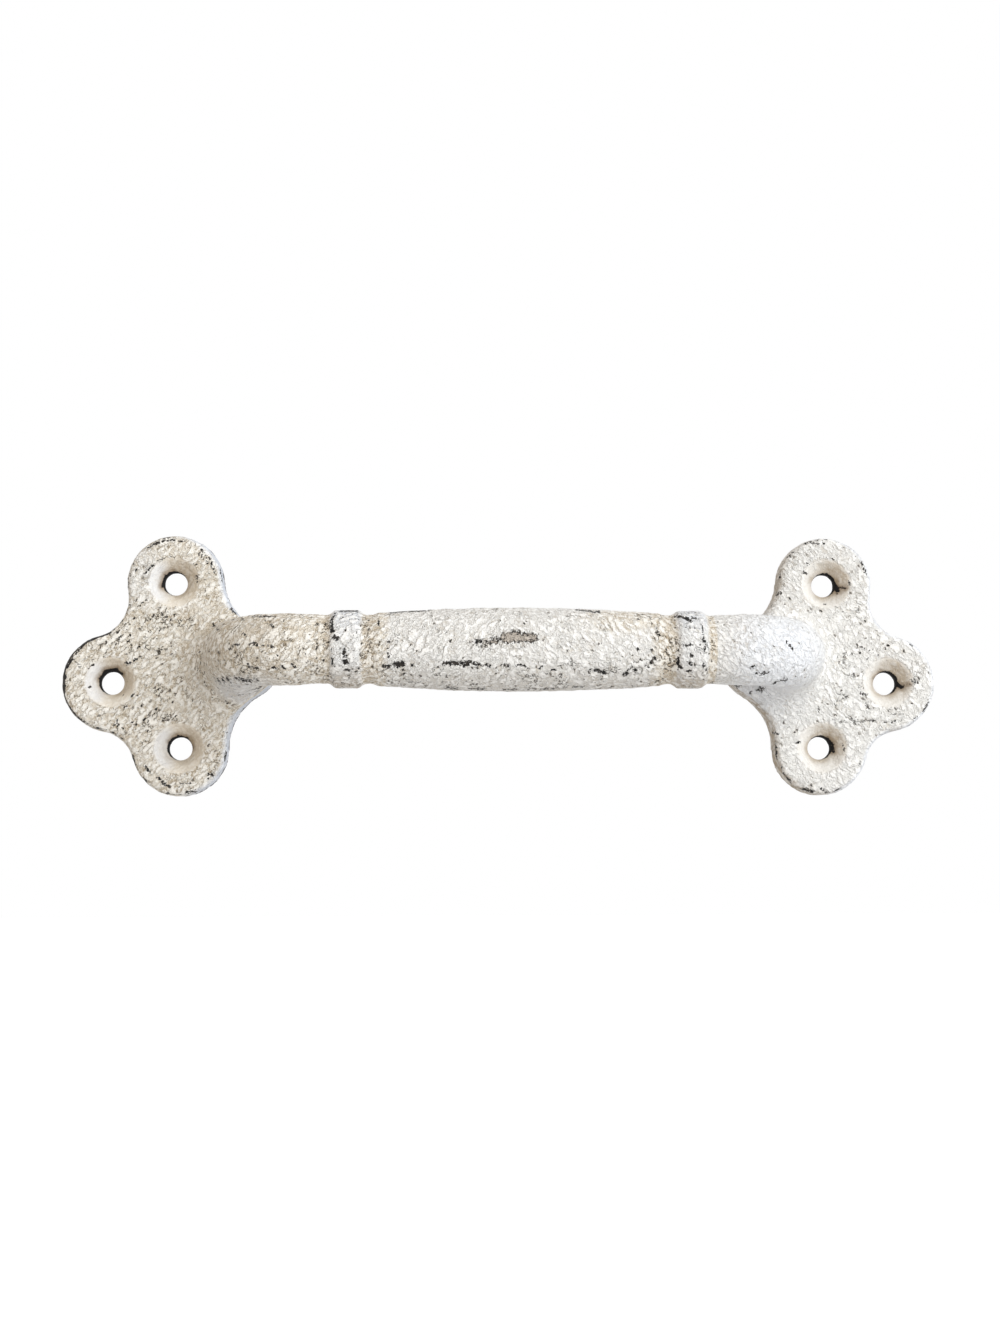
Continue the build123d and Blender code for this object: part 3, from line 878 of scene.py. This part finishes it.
def speckled(tree, coat, colour):
    """Colour with brown halos round the specks, and the mask of the specks and fine broken scratches."""
    group = specks_group()
    density = product(tree, reading(tree, "specks"), faded(tree, coat.blots, "speck patches"))
    leaning = slant(tree, coat.mirrored, SPECK_STRETCH)
    large = specks(tree, group, leaning, SPECK_CELLS, SPECK_SIZE, density)
    fine = specks(tree, group, coat.mirrored, FINE_SPECK_CELLS, FINE_SPECK_SIZE, density)
    colour = layer(tree, product(tree, large["Halo"], HALO_STRENGTH), colour, HALO_BROWN)
    large_mask = product(tree, large["Mask"], faded(tree, large["Tone"], "speck tone"))
    fine_mask = product(tree, fine["Mask"], faded(tree, fine["Tone"], "fine speck tone"))
    scratch = product(tree, faded(tree, coat.crease, "scratch"), faded(tree, coat.swell, "scratch breaks"))
    scratch = product(tree, scratch, faded(tree, density, "scratch density"))
    return colour, greatest(tree, large_mask, fine_mask, scratch)


def wear_and_bore_shade(tree, coat, colour, specked):
    """Colour with what shows where the coat is gone, and with the bores' dark rings, dark iron with painted
    shade of their walls; masks of bare iron, taupe ground and bores.
    """
    ragged = from_middle(tree, cloud(tree, coat.grid, scale=2.0, detail=3.0, roughness=0.7))
    chip, rubbed, smudge, ring = [
        plus_share(tree, ragged, FRAYED[name], reading(tree, name))
        for name in ("chip", "rubbed", "smudge", "black_ring")
    ]
    chips = faded(tree, chip, "chip")
    broken = plus_share(tree, ragged, FRAYED["rim"], cloud(tree, coat.grid, scale=0.45, roughness=0.6))
    rims = faded(tree, plus_share(tree, reading(tree, "rim"), RIM_WEAR, broken), "rim")
    taupe = faded(tree, rubbed, "taupe")
    crack = product(tree, taupe, faded(tree, rubbed, "crack"))
    crack = product(tree, crack, faded(tree, coat.grain, "crack breaks"))
    bare = greatest(tree, chips, rims, crack, specked)

    # Dark rings round the bores, partly painted shade of their walls, and black smudges.
    bores = greatest(tree, faded(tree, ring, "bore ring"), faded(tree, smudge, "black smudge"))
    colour = layer(tree, faded(tree, smudge, "brown smudge"), colour, SMUDGE_BROWN)
    colour = layer(tree, taupe, colour, TAUPE)
    colour = layer(tree, bare, colour, layer(tree, faded(tree, coat.grain, "rust"), IRON, RUSTY_IRON))
    return layer(tree, bores, colour, BORE_SOIL_AND_SHADE_BLACK), bare, taupe, bores


def worn_paint():
    """Thick cream paint over black cast iron: stippled, stained brown in its pits, and chipped; its colour
    also holds painted light, highlights and shade.
    """
    material = bpy.data.materials.new("worn_cream_paint")
    material.use_nodes = True
    tree = material.node_tree
    tree.nodes.clear()
    coat = coat_texture(tree)
    colour, specked = speckled(tree, coat, coat_colour(tree, coat))
    colour, bare, taupe, bores = wear_and_bore_shade(tree, coat, colour, specked)

    height = plus_share(tree, coat.swell, SWELL_HEIGHT, product(tree, coat.skin, SKIN_HEIGHT))
    lost = greatest(tree, bare, product(tree, taupe, RUBBED_STEP))
    height = plus_share(tree, lost, -PAINT_THICKNESS * CHIP_STEP, height)
    bump = add_node(tree, "Bump", {"Height": height, "Distance": MM, "Strength": 1.0}).outputs[0]
    gloss = faded(tree, coat.skin, "gloss")
    gloss = ramp(tree, bores, 0.0, 1.0, low=gloss, high=BORE_GLOSS)
    paint = add_node(tree, "BsdfPrincipled", {"Base Color": colour, "Roughness": gloss, "Normal": bump})
    paint.inputs["Specular IOR Level"].default_value = PAINT_SHINE
    add_node(tree, "OutputMaterial", {"Surface": paint.outputs[0]})
    return material


def seen_rays(tree):
    """One for rays from the camera, and for those that it sees mirrored or through something."""
    rays = add_node(tree, "LightPath").outputs
    return greatest(tree, rays["Is Camera Ray"], rays["Is Glossy Ray"], rays["Is Transmission Ray"])


def make_surroundings():
    """World that looks white and gives soft light, brighter from the right."""
    world = bpy.data.worlds.new("white_studio")
    world.use_nodes = True
    bpy.context.scene.world = world
    tree = world.node_tree
    direction = add_node(tree, "TexCoord").outputs["Generated"]
    rightwards = add_node(tree, "SeparateXYZ", {0: direction}).outputs[0]
    soft_light = layer(tree, ramp(tree, rightwards, -1.0, 1.0), DIM_SIDE, BRIGHT_SIDE)
    shown = layer(tree, seen_rays(tree), soft_light, WHITE_LIGHT)
    tree.links.new(shown, tree.nodes["Background"].inputs["Color"])


def make_floor():
    """Pale floor well below the pull, lifted to white for the camera where no shadow falls."""
    ground = bmesh.new()
    bmesh.ops.create_grid(ground, x_segments=1, y_segments=1, size=FLOOR_HALF * MM)
    bmesh.ops.translate(ground, verts=ground.verts, vec=(0, 0, CAD_BOX[0][2] - FLOOR_DROP * MM))
    mesh = bpy.data.meshes.new("floor")
    ground.to_mesh(mesh)
    ground.free()
    floor = in_scene("floor", mesh)
    pale = bpy.data.materials.new("pale_floor")
    pale.use_nodes = True
    tree = pale.node_tree
    surface = tree.nodes["Principled BSDF"]
    surface.inputs["Base Color"].default_value = FLOOR_GREY
    surface.inputs["Roughness"].default_value = FLOOR_ROUGHNESS
    surface.inputs["Specular IOR Level"].default_value = 0.0
    surface.inputs["Emission Color"].default_value = (*WHITE_LIGHT, 1)
    tree.links.new(product(tree, seen_rays(tree), FLOOR_LIFT), surface.inputs["Emission Strength"])
    mesh.materials.append(pale)


def make_lamp():
    """One large lamp, to the right of the camera and above it."""
    lamp = bpy.data.lights.new("key", "AREA")
    lamp.size = KEY_SIZE * MM
    lamp.energy = KEY_WATTS
    lamp.color = KEY_COLOUR
    key = in_scene("key", lamp)
    key.location = Vector(KEY_PLACE) * MM
    key.rotation_euler = (-key.location).to_track_quat("-Z", "Y").to_euler()


def make_camera():
    """Camera at the photograph's viewing angle."""
    lens = bpy.data.cameras.new("camera")
    lens.sensor_width = SENSOR
    lens.lens = FOCAL_PIXELS * SENSOR / IMAGE_HEIGHT
    lens.clip_start = CAMERA_NEAR * MM
    camera = in_scene("camera", lens)
    camera.location = Vector(CAMERA_PLACE) * MM
    aim = (Vector(CAMERA_TARGET) - Vector(CAMERA_PLACE)).to_track_quat("-Z", "Y")
    camera.rotation_euler = (aim @ Quaternion((0, 0, 1), math.radians(CAMERA_ROLL))).to_euler()
    bpy.context.scene.camera = camera


make_camera()
casting = make_casting()
casting.data.materials.append(worn_paint())
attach(casting, "root")
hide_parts("drawer_pull")
make_surroundings()
make_floor()
make_lamp()
bpy.context.scene.view_settings.view_transform = "Standard"
